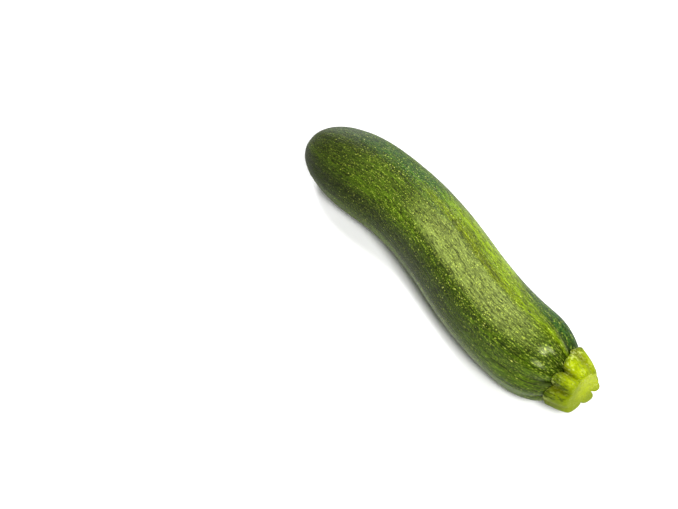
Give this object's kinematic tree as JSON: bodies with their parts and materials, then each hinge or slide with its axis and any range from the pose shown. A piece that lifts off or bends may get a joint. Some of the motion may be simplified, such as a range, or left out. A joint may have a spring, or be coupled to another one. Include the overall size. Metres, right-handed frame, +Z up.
{
  "type": "courgette",
  "caption": "Courgette lying on its side: a long, gently S-curved green fruit, rounded at the blossom end and ribbed at the shoulder below a squat, lobed cut stem.",
  "frame": {"origin": "bottom centre of the bounding box, on the surface that the fruit lies on", "axes": "+X along the length, from the blossom end to the cut stem; +Z up; +Y across"},
  "size_m": [0.2018, 0.056, 0.0437],
  "materials": {
    "skin": "satin, flecked with pale yellow-green",
    "stem": "matt, streaked yellow-green"
  },
  "bodies": {
    "root": {"fruit": "skin", "stem": "stem"}
  },
  "joints": []
}
